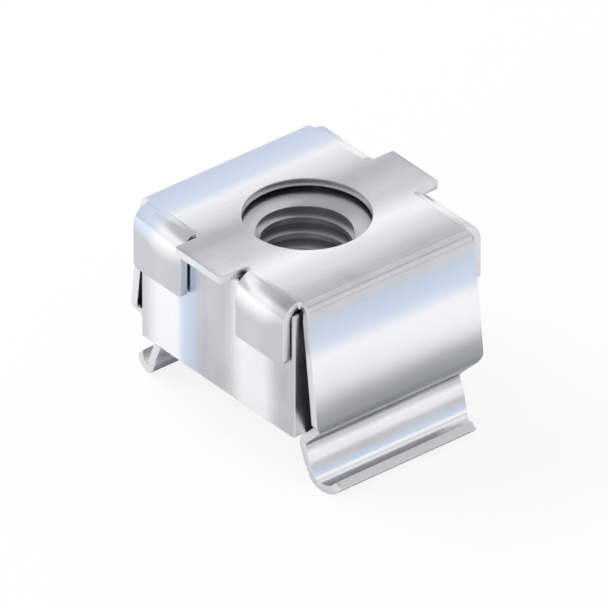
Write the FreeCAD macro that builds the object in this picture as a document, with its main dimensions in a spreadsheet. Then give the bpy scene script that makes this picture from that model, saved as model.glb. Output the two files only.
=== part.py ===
import FreeCAD, Part
import math
import os
import Sketcher

# Rack cage nut: a square nut that floats in a cage folded from one piece of spring steel.
# Millimetres. +Z runs up along the thread, X runs across the two legs and Y along the plate's tabs.
# The origin is on the thread's axis, level with the lowest point of the hooks.

# Driving dimensions: name, size, meaning
SIZES = [
    ("sheet", 0.4, "thickness of the spring steel"),
    ("nut_width", 10.3, "nut across X, the width of its bar"),
    ("nut_length", 9.9, "nut along Y, where it is cut from the bar"),
    ("nut_height", 6.2, "nut along the thread"),
    ("bar_edge", 0.15, "bevel along all twelve edges of the nut's block"),
    ("thread_core", 4.04, "diameter of the bore before the thread is cut outward"),
    ("mouth", 5.2, "diameter of the countersink at each end of the bore"),
    ("mouth_depth", 0.33, "depth of each countersink"),
    ("seat_gap", 0.05, "between the nut's underside and the shoulders that carry it"),
    ("lid_gap", 0.2, "between the nut and the plate above it"),
    ("side_play", 0.1, "between the nut and each wall, at the top of the wall"),
    ("end_play", 0.08, "between the nut and the flanges at each end"),
    ("screw_hole", 5.6, "diameter of the hole in the plate"),
    ("wall_bend", 0.1, "inside radius between plate and wall"),
    ("wall_length", 9.15, "wall along Y"),
    ("wall_lean", 0.68, "how far the wall's foot stands outside its top"),
    ("wall_corner", 0.3, "radius at the wall's lower corners"),
    ("fold_radius", 0.25, "inside radius between wall and shoulder"),
    ("shoulder_rise", 1.3, "height of the shoulder from neck to fold"),
    ("neck_gap", 9.3, "clear width between the two necks"),
    ("neck_height", 2.14, "height of the neck's bend above the hooks' lowest point"),
    ("neck_radius", 0.25, "inside radius between shoulder and leg"),
    ("leg_width", 8.5, "leg along Y at its neck"),
    ("leg_lean", 0.8, "how far the leg leans outward on its way down"),
    ("hook_radius", 0.5, "inside radius of the hook's curl"),
    ("hook_flat", 0.04, "level length between the hook's curl and the lip's"),
    ("lip_radius", 0.3, "inside radius between sole and lip"),
    ("lip_reach", 0.34, "how far the lip stands out past the sole"),
    ("lip_rise", 0.38, "how far the lip's end rises"),
    ("lip_inset", 0.5, "how far each side of the lip's tip stands in from the leg's side"),
    ("lip_corner", 0.2, "radius at the lip's corners"),
    ("relief_width", 9.04, "distance along Y between the cuts that free the flanges and tabs"),
    ("relief_corner", 0.18, "radius in the corners of those cuts"),
    ("relief_drop", 0.12, "how far the relief runs straight down past the plate's underside"),
    ("relief_slant", 0.35, "height of the slant from there out to the wall's side"),
    ("relief_round", 0.2, "radius at both ends of that slant"),
    ("flange_span", 10.1, "outer distance along X over the two flanges of one end"),
    ("flange_bend", 0.5, "inside radius between plate and flange"),
    ("flange_drop", 3.0, "flange's lower edge below the top of the plate"),
    ("flange_corner", 0.3, "radius at the flange's outer lower corner"),
    ("tab_width", 3.1, "tab along X"),
    ("tab_notch", 0.3, "notch between the tab and each flange"),
    ("tab_reach", 0.56, "how far the tab stands out past the flanges"),
    ("burr_break", 0.08, "radius at the small corners that a press tool leaves"),
    ("notch_share", 0.45, "largest part of the notch's width that its corner radius may take"),
]

# Places worked out from the driving dimensions. Those of the sheet are on its middle surface.
HALF_SHEET = "Sizes.sheet / 2"
WALL_TOP = f"(Sizes.nut_width / 2 + Sizes.side_play + {HALF_SHEET})"
WALL_FOOT = f"({WALL_TOP} + Sizes.wall_lean)"
NECK = f"(Sizes.neck_gap / 2 + {HALF_SHEET})"
SLOPE = f"(Sizes.shoulder_rise / ({WALL_FOOT} - {NECK}))"
LENGTHEN = f"sqrt(1 + {SLOPE} * {SLOPE})"
FOLD_HEIGHT = "(Sizes.neck_height + Sizes.shoulder_rise)"
# the nut's underside hangs just above the sloping shoulder, at the inner end of the block's bevel
NUT_SIDE = "(Sizes.nut_width / 2)"
NUT_FLOOR = (
    f"(Sizes.neck_height + ({NUT_SIDE} - Sizes.bar_edge - {NECK}) * {SLOPE}"
    f" + ({HALF_SHEET} + Sizes.seat_gap) * {LENGTHEN})"
)
NUT_TOP = f"({NUT_FLOOR} + Sizes.nut_height)"
PLATE_TOP = f"({NUT_TOP} + Sizes.lid_gap + Sizes.sheet)"
PLATE_MIDDLE = f"({PLATE_TOP} - {HALF_SHEET})"
PLATE_UNDERSIDE = f"({PLATE_TOP} - Sizes.sheet)"
FLANGE_INSIDE = "(Sizes.nut_length / 2 + Sizes.end_play)"
FLANGE_OUTSIDE = f"({FLANGE_INSIDE} + Sizes.sheet)"
FLANGE_FOOT = f"({PLATE_TOP} - Sizes.flange_drop)"
RELIEF = "(Sizes.relief_width / 2)"
SLANT_TOP = f"({PLATE_UNDERSIDE} - Sizes.relief_drop)"
TAB_SIDE = "(Sizes.tab_width / 2)"
NOTCH_SIDE = f"({TAB_SIDE} + Sizes.tab_notch)"
HOOK_START = f"({NECK} + Sizes.leg_lean)"
# a bend takes this much of each straight beside it: the radius of its middle times tan(turn / 2)
HOOK_TURN = f"atan((Sizes.neck_height - {HALF_SHEET}) / Sizes.leg_lean)"
HOOK_RUN = f"(Sizes.hook_radius + {HALF_SHEET}) * tan({HOOK_TURN} / 2)"
LIP_TURN = "atan(Sizes.lip_rise / Sizes.lip_reach)"
LIP_RUN = f"(Sizes.lip_radius + {HALF_SHEET}) * tan({LIP_TURN} / 2)"
LIP_START = f"({HOOK_START} + {HOOK_RUN} + Sizes.hook_flat + {LIP_RUN})"
LIP_END = f"({LIP_START} + Sizes.lip_reach)"
WALL_SIDE = "(Sizes.wall_length / 2)"
LEG_SIDE = "(Sizes.leg_width / 2)"
LIP_SIDE = f"({LEG_SIDE} - Sizes.lip_inset)"
TAPER_START = f"({NECK} + Sizes.sheet)"
TAB_END = f"({FLANGE_OUTSIDE} + Sizes.tab_reach)"

# A cut runs this far past the metal that it removes
PAST = 1.0
BLANK_SIDE = f"({WALL_SIDE} + {PAST})"
SMALL = 1e-4
# An edge across the sheet is as long as the sheet is thick, or a little longer where the sheet slopes
EDGE_SLACK = 0.08
# One whole turn, in degrees
FULL_TURN = 360

doc = FreeCAD.newDocument("rack_cage_nut")
sheet = doc.addObject("Spreadsheet::Sheet", "Sizes")


def fill_sheet():
    """Writes each driving dimension to a row of the sheet, under its own name."""
    for row, (name, size, meaning) in enumerate(SIZES, start=1):
        sheet.set(f"A{row}", name)
        sheet.set(f"B{row}", str(size))
        sheet.setAlias(f"B{row}", name)
        sheet.set(f"C{row}", meaning)
    doc.recompute()


def size_of(expression):
    """The length that an expression over the sheet stands for now."""
    found = sheet.evalExpression(str(expression))
    return float(getattr(found, "Value", found))


def start_body(label):
    """A body for one piece of the nut."""
    body = doc.addObject("PartDesign::Body", label)
    body.Label = label
    return body


def plane_of(body, role):
    """One of the body's own origin planes."""
    return next(part for part in body.Origin.OriginFeatures if part.Role == role)


def add_sketch(body, name, role):
    """An empty sketch on one of the body's origin planes."""
    sketch = body.newObject("Sketcher::SketchObject", name)
    sketch.AttachmentSupport = [(plane_of(body, role), "")]
    sketch.MapMode = "FlatFace"
    return sketch


def hold(sketch, kind, places, expression, name):
    """A dimension in a sketch, bound to an expression over the sheet."""
    index = sketch.addConstraint(Sketcher.Constraint(kind, *places, size_of(expression)))
    sketch.renameConstraint(index, name)
    sketch.setExpression(f"Constraints.{name}", str(expression))


def hold_point(sketch, places, corner, name):
    """Ties a point of a sketch to a corner's two expressions. A "0" puts it on that axis."""
    for kind, axis, expression in (("DistanceX", -2, corner[0]), ("DistanceY", -1, corner[1])):
        if expression == "0":
            sketch.addConstraint(Sketcher.Constraint("PointOnObject", *places, axis))
        else:
            hold(sketch, kind, places, expression, f"{name}_{kind[-1].lower()}")


def bend_at(before, corner, after, radius):
    """The arc that rounds a corner: its centre, first and last point, and whether it turns left."""
    way_in = (corner - before).normalize()
    way_out = (after - corner).normalize()
    turn = way_in.getAngle(way_out)
    run = radius * math.tan(turn / 2)
    leftward = way_in.x * way_out.y - way_in.y * way_out.x > 0
    side = FreeCAD.Vector(-way_in.y, way_in.x, 0) * (1 if leftward else -1)
    return corner - way_in * run + side * radius, corner - way_in * run, corner + way_out * run, leftward


def add_outline(sketch, name, corners, closed=True):
    """Straight runs from corner to corner, with a tangent arc where a corner has a radius.

    Each corner is (x, y) or (x, y, radius), all expressions over the sheet.
    """
    points = [FreeCAD.Vector(size_of(c[0]), size_of(c[1]), 0) for c in corners]
    count = len(corners)
    rounded = [len(corner) > 2 for corner in corners]
    arcs = {}
    enters, leaves = list(points), list(points)
    for i in range(count):
        if rounded[i]:
            radius = size_of(corners[i][2])
            bend = bend_at(points[i - 1], points[i], points[(i + 1) % count], radius)
            centre, enters[i], leaves[i], leftward = bend
            first, last = (enters[i], leaves[i]) if leftward else (leaves[i], enters[i])
            angles = [math.atan2(p.y - centre.y, p.x - centre.x) for p in (first, last)]
            circle = Part.Circle(centre, FreeCAD.Vector(0, 0, 1), radius)
            arcs[i] = (sketch.addGeometry(Part.ArcOfCircle(circle, *angles)), leftward)
    runs = {}
    for i in range(count if closed else count - 1):
        runs[i] = sketch.addGeometry(Part.LineSegment(leaves[i], enters[(i + 1) % count]))
    for i in range(count):
        run_in, run_out = runs.get((i - 1) % count), runs.get(i)
        if not rounded[i]:
            if run_in is not None and run_out is not None:
                sketch.addConstraint(Sketcher.Constraint("Coincident", run_in, 2, run_out, 1))
            end = (run_out, 1) if run_out is not None else (run_in, 2)
            hold_point(sketch, end, corners[i], f"{name}_{i}")
            continue
        arc, leftward = arcs[i]
        first, last = (1, 2) if leftward else (2, 1)
        corner_point = sketch.addGeometry(Part.Point(points[i]), True)
        sketch.addConstraint(Sketcher.Constraint("Tangent", run_in, 2, arc, first))
        sketch.addConstraint(Sketcher.Constraint("Tangent", arc, last, run_out, 1))
        sketch.addConstraint(Sketcher.Constraint("PointOnObject", corner_point, 1, run_in))
        sketch.addConstraint(Sketcher.Constraint("PointOnObject", corner_point, 1, run_out))
        hold_point(sketch, (corner_point, 1), corners[i], f"{name}_{i}")
        hold(sketch, "Radius", (arc,), corners[i][2], f"{name}_{i}_radius")


def add_circle(sketch, radius):
    """A circle about the sketch's origin, with its radius bound to an expression."""
    circle = Part.Circle(FreeCAD.Vector(0, 0, 0), FreeCAD.Vector(0, 0, 1), size_of(radius))
    index = sketch.addGeometry(circle)
    sketch.addConstraint(Sketcher.Constraint("Coincident", index, 3, -1, 1))
    hold(sketch, "Radius", (index,), radius, "radius")


def flipped(corners, along_x=False, along_y=False):
    """The same corners on the other side of an axis, listed the other way round."""
    turned = []
    for corner in reversed(corners):
        x = f"-({corner[0]})" if along_x and corner[0] != "0" else corner[0]
        y = f"-({corner[1]})" if along_y and corner[1] != "0" else corner[1]
        turned.append((x, y, *corner[2:]))
    return turned


def last_volume(body):
    """Rebuilds the document and gives the volume of the body's last feature."""
    doc.recompute()
    return body.Tip.Shape.Volume if body.Tip else 0.0


def add_pad(body, name, sketch, length):
    """A pad to both sides of its sketch, with its whole length bound to an expression."""
    pad = body.newObject("PartDesign::Pad", name)
    pad.Profile = sketch
    pad.SideType = "Symmetric"
    pad.setExpression("Length", length)
    return pad


def add_pocket(body, name, sketch, rise=None):
    """A pocket through everything, or up from the sketch by a bound rise. It has to remove metal."""
    before = last_volume(body)
    pocket = body.newObject("PartDesign::Pocket", name)
    pocket.Profile = sketch
    if rise is None:
        pocket.Type = "ThroughAll"
        pocket.SideType = "Symmetric"
    else:
        pocket.Reversed = True
        pocket.setExpression("Length", rise)
    after = last_volume(body)
    if not 0 < after < before - SMALL:
        raise ValueError(f"{name} removes nothing")
    return pocket


def round_edges(body, name, radius, wanted):
    """Rounds the short edges of a body's last shape that the test picks out by their middle point."""
    last_volume(body)
    base = body.Tip
    thickness = size_of("Sizes.sheet")
    picked = []
    for index, edge in enumerate(base.Shape.Edges, start=1):
        middle = edge.CenterOfMass
        across = abs(edge.Length - thickness) < EDGE_SLACK
        if across and wanted(FreeCAD.Vector(abs(middle.x), abs(middle.y), middle.z)):
            picked.append(f"Edge{index}")
    fillet = body.newObject("PartDesign::Fillet", name)
    fillet.Base = (base, picked)
    fillet.setExpression("Radius", radius)
    return fillet


def near(value, expression):
    """Does a coordinate lie at the place that an expression gives?"""
    return abs(value - size_of(expression)) < SMALL


def fold_the_strip(body):
    """The plate with a wall, a shoulder, a leg and a hook on each side, swept as one strip."""
    fold_line = add_sketch(body, "fold_line", "XZ_Plane")
    add_outline(
        fold_line,
        "fold",
        [
            ("0", PLATE_MIDDLE),
            (WALL_TOP, PLATE_MIDDLE, f"Sizes.wall_bend + {HALF_SHEET}"),
            (WALL_FOOT, FOLD_HEIGHT, f"Sizes.fold_radius + {HALF_SHEET}"),
            (NECK, "Sizes.neck_height", f"Sizes.neck_radius + {HALF_SHEET}"),
            (HOOK_START, HALF_SHEET, f"Sizes.hook_radius + {HALF_SHEET}"),
            (LIP_START, HALF_SHEET, f"Sizes.lip_radius + {HALF_SHEET}"),
            (LIP_END, f"{HALF_SHEET} + Sizes.lip_rise"),
        ],
        closed=False,
    )
    section = add_sketch(body, "strip_section", "YZ_Plane")
    add_outline(
        section,
        "section",
        [
            (f"-{BLANK_SIDE}", PLATE_UNDERSIDE),
            (BLANK_SIDE, PLATE_UNDERSIDE),
            (BLANK_SIDE, PLATE_TOP),
            (f"-{BLANK_SIDE}", PLATE_TOP),
        ],
    )
    strip = body.newObject("PartDesign::AdditivePipe", "folded_strip")
    strip.Profile = section
    strip.Spine = (fold_line, [])
    doc.recompute()
    both = body.newObject("PartDesign::Mirrored", "both_sides")
    both.Originals = [strip]
    both.MirrorPlane = (plane_of(body, "YZ_Plane"), [""])
    body.Tip = both


def trim_the_sides(body):
    """Cuts the strip to the reliefs, walls and legs as seen from the side, then tapers the legs."""
    beyond = f"({BLANK_SIDE} + {PAST})"
    side = [
        (RELIEF, f"{PLATE_TOP} + {PAST}"),
        (RELIEF, SLANT_TOP, "Sizes.relief_round"),
        (WALL_SIDE, f"{SLANT_TOP} - Sizes.relief_slant", "Sizes.relief_round"),
        (WALL_SIDE, f"{FOLD_HEIGHT} + {HALF_SHEET}", "Sizes.wall_corner"),
        (LEG_SIDE, f"{FOLD_HEIGHT} - {HALF_SHEET}", "Sizes.wall_corner"),
        (LEG_SIDE, f"-{PAST}"),
        (beyond, f"-{PAST}"),
        (beyond, f"{PLATE_TOP} + {PAST}"),
    ]
    side_trim = add_sketch(body, "side_trim", "YZ_Plane")
    add_outline(side_trim, "far", side)
    add_outline(side_trim, "near", flipped(side, along_x=True))
    add_pocket(body, "trimmed_sides", side_trim)

    taper = f"(Sizes.lip_inset / ({LIP_END} - {TAPER_START}))"
    plan = [
        (TAPER_START, LEG_SIDE),
        (f"{LIP_END} + {PAST}", f"{LIP_SIDE} - {taper} * {PAST}"),
        (f"{LIP_END} + {PAST}", beyond),
        (TAPER_START, beyond),
    ]
    leg_trim = add_sketch(body, "leg_trim", "XY_Plane")
    add_outline(leg_trim, "first", plan)
    add_outline(leg_trim, "second", flipped(plan, along_x=True))
    add_outline(leg_trim, "third", flipped(plan, along_y=True))
    add_outline(leg_trim, "fourth", flipped(flipped(plan, along_x=True), along_y=True))
    add_pocket(body, "tapered_legs", leg_trim, rise="Sizes.neck_height")


def add_the_ends(body):
    """Bends the four flanges down over the nut's ends, and leaves a flat tab between each two."""
    profile = [
        (FLANGE_OUTSIDE, FLANGE_FOOT),
        (FLANGE_OUTSIDE, PLATE_TOP, "Sizes.flange_bend + Sizes.sheet"),
        (f"-{FLANGE_OUTSIDE}", PLATE_TOP, "Sizes.flange_bend + Sizes.sheet"),
        (f"-{FLANGE_OUTSIDE}", FLANGE_FOOT),
        (f"-{FLANGE_INSIDE}", FLANGE_FOOT),
        (f"-{FLANGE_INSIDE}", PLATE_UNDERSIDE, "Sizes.flange_bend"),
        (FLANGE_INSIDE, PLATE_UNDERSIDE, "Sizes.flange_bend"),
        (FLANGE_INSIDE, FLANGE_FOOT),
    ]
    flange_profile = add_sketch(body, "flange_profile", "YZ_Plane")
    add_outline(flange_profile, "flange", profile)
    add_pad(body, "bent_flanges", flange_profile, "Sizes.flange_span")

    opening = [
        (NOTCH_SIDE, RELIEF),
        (NOTCH_SIDE, f"{FLANGE_OUTSIDE} + {PAST}"),
        (f"-{NOTCH_SIDE}", f"{FLANGE_OUTSIDE} + {PAST}"),
        (f"-{NOTCH_SIDE}", RELIEF),
    ]
    flange_gap = add_sketch(body, "flange_gap", "XY_Plane")
    add_outline(flange_gap, "far", opening)
    add_outline(flange_gap, "near", flipped(opening, along_y=True))
    add_pocket(body, "parted_flanges", flange_gap)

    tab_section = add_sketch(body, "tab_section", "XZ_Plane")
    add_outline(
        tab_section,
        "tab",
        [
            (f"-{TAB_SIDE}", PLATE_UNDERSIDE),
            (TAB_SIDE, PLATE_UNDERSIDE),
            (TAB_SIDE, PLATE_TOP),
            (f"-{TAB_SIDE}", PLATE_TOP),
        ],
    )
    add_pad(body, "flat_tabs", tab_section, f"2 * {TAB_END}")


def pierce_the_plate(body):
    """The round hole for the screw's end."""
    hole = add_sketch(body, "hole_circle", "XY_Plane")
    add_circle(hole, "Sizes.screw_hole / 2")
    add_pocket(body, "pierced_plate", hole)


def round_the_corners(body):
    """The small radii that the press tool leaves in and on the sheet's outline."""
    flange_side = "Sizes.flange_span / 2"
    round_edges(
        body,
        "relief_corners",
        "min(Sizes.relief_corner; Sizes.tab_notch * Sizes.notch_share)",
        lambda p: near(p.y, RELIEF) and (near(p.x, TAB_SIDE) or near(p.x, NOTCH_SIDE)),
    )
    round_edges(
        body,
        "outer_flange_corners",
        "Sizes.flange_corner",
        lambda p: near(p.z, FLANGE_FOOT) and near(p.x, flange_side),
    )
    round_edges(
        body,
        "small_corners",
        "Sizes.burr_break",
        lambda p: (near(p.z, FLANGE_FOOT) and near(p.x, NOTCH_SIDE))
        or near(p.y, TAB_END)
        or (near(p.y, RELIEF) and near(p.x, flange_side)),
    )
    round_edges(
        body,
        "lip_corners",
        "Sizes.lip_corner",
        lambda p: near(p.x, LIP_END),
    )


def make_the_nut(body):
    """A block of bar with bevelled edges, and a bore with a countersink at each mouth."""
    bar_section = add_sketch(body, "bar_section", "XZ_Plane")
    add_outline(
        bar_section,
        "bar",
        [
            (f"-{NUT_SIDE}", NUT_FLOOR),
            (NUT_SIDE, NUT_FLOOR),
            (NUT_SIDE, NUT_TOP),
            (f"-{NUT_SIDE}", NUT_TOP),
        ],
    )
    block = add_pad(body, "bar_length", bar_section, "Sizes.nut_length")
    doc.recompute()
    bevel = body.newObject("PartDesign::Chamfer", "bevelled_block")
    bevel.Base = (block, [f"Edge{index + 1}" for index in range(len(block.Shape.Edges))])
    bevel.setExpression("Size", "Sizes.bar_edge")

    core, mouth = "Sizes.thread_core / 2", "Sizes.mouth / 2"
    bore = [
        ("0", NUT_FLOOR),
        (mouth, NUT_FLOOR),
        (core, f"{NUT_FLOOR} + Sizes.mouth_depth"),
        (core, f"{NUT_TOP} - Sizes.mouth_depth"),
        (mouth, NUT_TOP),
        ("0", NUT_TOP),
    ]
    bore_section = add_sketch(body, "bore_section", "XZ_Plane")
    add_outline(bore_section, "bore", bore)
    before = last_volume(body)
    groove = body.newObject("PartDesign::Groove", "bored_and_countersunk")
    groove.Profile = bore_section
    groove.ReferenceAxis = (bore_section, ["V_Axis"])
    groove.Angle = FULL_TURN
    if last_volume(body) > before - SMALL:
        raise ValueError("the bore removes nothing")


def write_steps(bodies):
    """Checks every object of the document, then writes each piece to a file of its own name."""
    doc.recompute()
    for item in doc.Objects:
        if "Invalid" in item.State or "Error" in item.State:
            raise ValueError(f"{item.Name} could not be built: {item.State}")
    for body in bodies:
        shape = body.Shape
        if shape.isNull() or not shape.isValid() or len(shape.Solids) != 1:
            raise ValueError(f"{body.Label} is not one valid solid")
    os.makedirs("parts", exist_ok=True)
    for body in bodies:
        body.Shape.exportStep(f"parts/{body.Label}.step")
        print(body.Label, "volume", round(body.Shape.Volume, 3), "mm3")


fill_sheet()

spring_cage = start_body("spring_cage")
fold_the_strip(spring_cage)
trim_the_sides(spring_cage)
add_the_ends(spring_cage)
pierce_the_plate(spring_cage)
round_the_corners(spring_cage)

square_nut = start_body("square_nut")
make_the_nut(square_nut)

write_steps([spring_cage, square_nut])
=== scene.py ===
"""Looks of a rack cage nut: a threaded square nut, loose in a cage folded from zinc-plated sheet."""

import logging
import math
from dataclasses import dataclass
from enum import Enum

import bmesh
import bpy
from mathutils import Matrix, Vector


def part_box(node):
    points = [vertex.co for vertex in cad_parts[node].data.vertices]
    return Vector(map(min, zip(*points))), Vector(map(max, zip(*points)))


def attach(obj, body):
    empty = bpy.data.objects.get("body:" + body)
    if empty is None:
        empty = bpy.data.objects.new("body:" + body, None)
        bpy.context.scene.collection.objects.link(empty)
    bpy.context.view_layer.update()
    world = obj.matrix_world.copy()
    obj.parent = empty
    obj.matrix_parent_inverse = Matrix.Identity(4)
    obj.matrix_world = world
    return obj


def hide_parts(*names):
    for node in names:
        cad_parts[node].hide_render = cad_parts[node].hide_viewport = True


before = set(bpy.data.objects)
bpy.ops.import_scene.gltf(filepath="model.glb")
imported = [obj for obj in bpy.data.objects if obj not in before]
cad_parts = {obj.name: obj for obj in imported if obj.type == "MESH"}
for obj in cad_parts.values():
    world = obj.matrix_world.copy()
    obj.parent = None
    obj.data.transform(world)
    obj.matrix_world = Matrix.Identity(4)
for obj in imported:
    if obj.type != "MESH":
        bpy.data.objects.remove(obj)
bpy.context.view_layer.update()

log = logging.getLogger("rack_cage_nut")

MM = 0.001
MERGE = 0.0005  # points nearer than this, in mm, are one
LARGE_FACES_LEAD = 70
NOISE_ROUGHNESS = 0.6
LAID = {"Vector": (0.0, 0.0, 0.0), "Lay": (1.0, 1.0, 1.0)}  # how a group with a lay starts out
Colour = tuple[float, float, float]
Shape = bmesh.types.BMesh
Layer = bmesh.types.BMLayerItem
Piece = bpy.types.Object
Material = bpy.types.Material
Tree = bpy.types.NodeTree
Socket = bpy.types.NodeSocket
Outputs = dict[str, Socket]
Inputs = dict[str | int, object]


class Lay(Enum):
    """Which way the tool marks of a finish run in the pattern's own coordinates."""

    ALONG_X = (0.03, 1.0, 1.0)
    ALONG_Y = (1.0, 0.03, 1.0)
    ALONG_Z = (1.0, 1.0, 0.03)
    ROUND = (1.0, 1.0, 1.0)


class Pattern(Enum):
    """Where a finish reads its pattern: the sheet before it was folded, or the solid block."""

    FLAT_SHEET = "flat_sheet"
    BLOCK = "block"


@dataclass
class Bench:
    """A node tree, with short ways to add the nodes that the finishes use."""

    tree: Tree

    def feed(self, socket: Socket, value: object) -> None:
        """Links a socket to the one given, or sets it to a plain value.

        Args:
            socket: the input to feed.
            value: another socket, a number or a tuple.
        """
        if isinstance(value, Socket):
            self.tree.links.new(value, socket)
        else:
            socket.default_value = value

    def add(self, kind: str, inputs: Inputs, **settings: object) -> bpy.types.Node:
        """A new node.

        Args:
            kind: its type.
            inputs: what feeds its inputs, by name or number.
            settings: its own settings.

        Returns:
            The node.
        """
        node = self.tree.nodes.new(kind)
        for name, value in settings.items():
            setattr(node, name, value)
        for key, value in inputs.items():
            self.feed(node.inputs[key], value)
        return node

    def math(self, operation: str, *values: Socket | float) -> Socket:
        """The result of a Math node with its operation and up to three values."""
        return self.add("ShaderNodeMath", dict(enumerate(values)), operation=operation).outputs[0]

    def sum(self, first: Socket, share: float, second: Socket, other_share: float) -> Socket:
        """The weighted sum of two number sockets."""
        return self.math("MULTIPLY_ADD", first, share, self.math("MULTIPLY", second, other_share))

    def vector(self, operation: str, inputs: Inputs) -> Socket:
        """The result of a Vector Math node."""
        return self.add("ShaderNodeVectorMath", inputs, operation=operation).outputs["Vector"]

    def noise(self, vector: Socket, scale: float, detail: float) -> Socket:
        """The value of a noise texture on a vector, at a scale and a detail."""
        inputs = {"Vector": vector, "Scale": scale, "Detail": detail, "Roughness": NOISE_ROUGHNESS}
        return self.add("ShaderNodeTexNoise", inputs).outputs["Fac"]

    def mask(self, value: Socket, low: float, high: float, ramp: str = "SMOOTHSTEP") -> Socket:
        """How far a value has come from low to high, from 0 to 1.

        Args:
            value: the socket with the value.
            low: where the mask is 0.
            high: where the mask is 1.
            ramp: how it rises between them.

        Returns:
            The socket with the mask.
        """
        inputs = {"Value": value, "From Min": low, "From Max": high}
        return self.add("ShaderNodeMapRange", inputs, interpolation_type=ramp).outputs["Result"]

    def mix(self, kind: str, amount: Socket, under: object, over: object) -> Socket:
        """One value laid over another by an amount.

        Args:
            kind: RGBA for colours and FLOAT for numbers.
            amount: the socket with the amount, from 0 to 1.
            under: the socket or plain value below.
            over: the socket or plain value laid over it.

        Returns:
            The socket with the mixed value.
        """
        node = self.add("ShaderNodeMix", {"Factor": amount}, data_type=kind)
        shown = "RGBA" if kind == "RGBA" else "VALUE"
        sides = [socket for socket in node.inputs if socket.type == shown and socket.name in "AB"]
        for socket, value in zip(sides, (under, over)):
            self.feed(socket, value)
        return next(socket for socket in node.outputs if socket.type == shown)

    def group(self, effect: Tree, inputs: Inputs) -> Outputs:
        """The outputs, by name, of a shared effect that is placed with these inputs."""
        return dict(self.add("ShaderNodeGroup", inputs, node_tree=effect).outputs.items())

    def beyond(self, place: Socket, axis: str, start: float, width: float) -> Socket:
        """How far a place lies out along an axis of the pattern, to either side.

        Args:
            place: the pattern's coordinates.
            axis: X or Y.
            start: where the mask begins, in mm from the middle.
            width: how wide its soft edge is, in mm.

        Returns:
            The socket with the mask, 0 inside and 1 beyond.
        """
        split = self.add("ShaderNodeSeparateXYZ", {"Vector": place})
        return self.mask(self.math("ABSOLUTE", split.outputs[axis]), start, start + width)


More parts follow.
